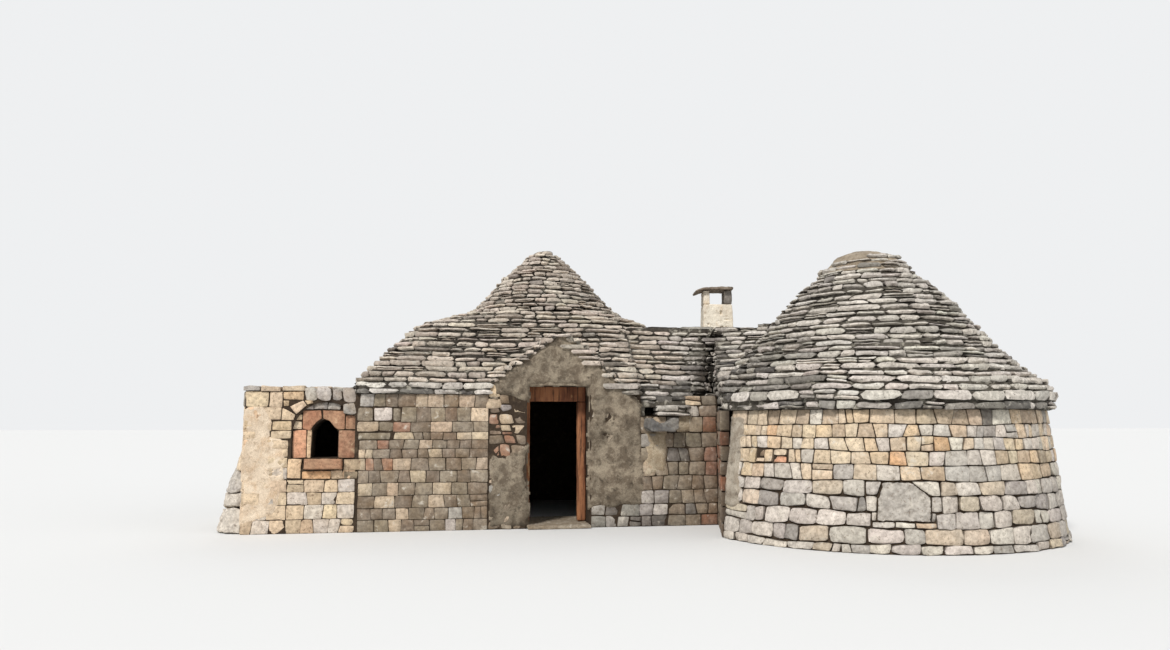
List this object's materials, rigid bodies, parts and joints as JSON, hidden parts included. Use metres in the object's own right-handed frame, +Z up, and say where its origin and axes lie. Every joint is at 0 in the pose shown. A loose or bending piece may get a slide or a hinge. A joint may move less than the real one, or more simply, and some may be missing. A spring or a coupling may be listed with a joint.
{
  "type": "trullo house",
  "caption": "Dry-stone trullo house: door house with hipped slab roof and cone, round trullo with slab cone, chimney link and oven wing.",
  "frame": {"origin": "middle of the doorway on the plane of the front wall, on the ground under the threshold stone", "axes": "+X along the front towards the round trullo, +Y into the house, +Z up"},
  "size_m": [12.1198, 9.68, 4.78],
  "materials": {
    "wall_stone": "dry-laid limestone blocks, cream to weathered grey",
    "roof_slabs": "weathered grey limestone slabs with lichen",
    "plastered_stone": "mottled old lime plaster over rubble",
    "oven_stone": "fired orange-pink limestone",
    "timber": "old orange-brown weathered timber"
  },
  "bodies": {
    "root": {"annex_cap": "roof_slabs", "annex_cone_back": "roof_slabs", "annex_cone_front": "roof_slabs", "annex_eaves_back": "roof_slabs", "annex_eaves_front": "roof_slabs", "annex_wall_back": "wall_stone", "annex_wall_back_right": "wall_stone", "annex_wall_flank": "wall_stone", "annex_wall_front_left": "wall_stone", "annex_wall_front_right": "wall_stone", "annex_wall_right": "wall_stone", "chimney_cover": "roof_slabs", "chimney_piers": "plastered_stone", "chimney_stack": "plastered_stone", "door_header": "timber", "door_posts": "timber", "door_threshold": "wall_stone", "gable_roof": "roof_slabs", "gable_wall": "plastered_stone", "gutter_stone": "wall_stone", "house_cap": "roof_slabs", "house_cone_back": "roof_slabs", "house_cone_front": "roof_slabs", "house_wall_back": "wall_stone", "house_wall_front_left": "wall_stone", "house_wall_front_right": "plastered_stone", "house_wall_left": "wall_stone", "house_wall_right": "wall_stone", "link_roof_back": "roof_slabs", "link_roof_front": "roof_slabs", "link_wall_back": "wall_stone", "link_wall_front": "wall_stone", "oven_base": "wall_stone", "oven_bed": "wall_stone", "oven_buttress": "wall_stone", "oven_cap_slabs": "roof_slabs", "oven_jambs": "oven_stone", "oven_lintel": "oven_stone", "oven_sill": "wall_stone", "oven_wall": "wall_stone", "roof_hip_back": "roof_slabs", "roof_hip_front": "roof_slabs", "roof_hip_left": "roof_slabs", "roof_hip_right": "roof_slabs", "roof_valley_right": "roof_slabs"}
  },
  "joints": []
}
